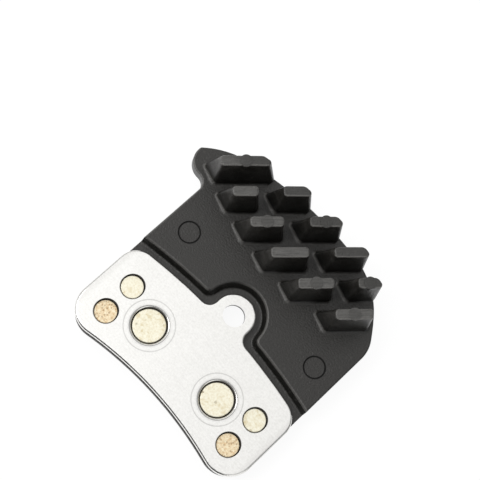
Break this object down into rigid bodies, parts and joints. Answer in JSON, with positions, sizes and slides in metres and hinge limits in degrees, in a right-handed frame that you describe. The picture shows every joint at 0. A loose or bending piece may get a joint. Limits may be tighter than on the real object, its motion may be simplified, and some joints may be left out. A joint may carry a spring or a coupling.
{
  "type": "bicycle disc brake pad",
  "caption": "Finned bicycle disc brake pad: steel backing plate with a pin ear, cast radiator with diagonal cooling fins, swaged rivets and a sintered friction block.",
  "frame": {"origin": "on the axis of the pad pin's hole, in the radiator's friction-side face", "axes": "+X along the pad, +Y from the friction block towards the fins, +Z out of the face that the pistons push on"},
  "size_m": [0.0432, 0.0411, 0.0125],
  "materials": {
    "plate_steel": "fine blasted stainless steel",
    "black_casting": "satin black coat on die-cast aluminium",
    "copper_plate": "thin copper plating on steel",
    "compound": "sintered metal with a coarse grain",
    "pale_gold": "matt pale gold plating on steel",
    "bronze": "sintered bronze with a fine grain"
  },
  "bodies": {
    "root": {"back_plate": "plate_steel", "radiator": "black_casting", "friction_carrier": "copper_plate", "friction_block": "compound", "main_rivets": "pale_gold", "upper_rivets": "pale_gold", "lower_studs": "bronze"}
  },
  "joints": []
}
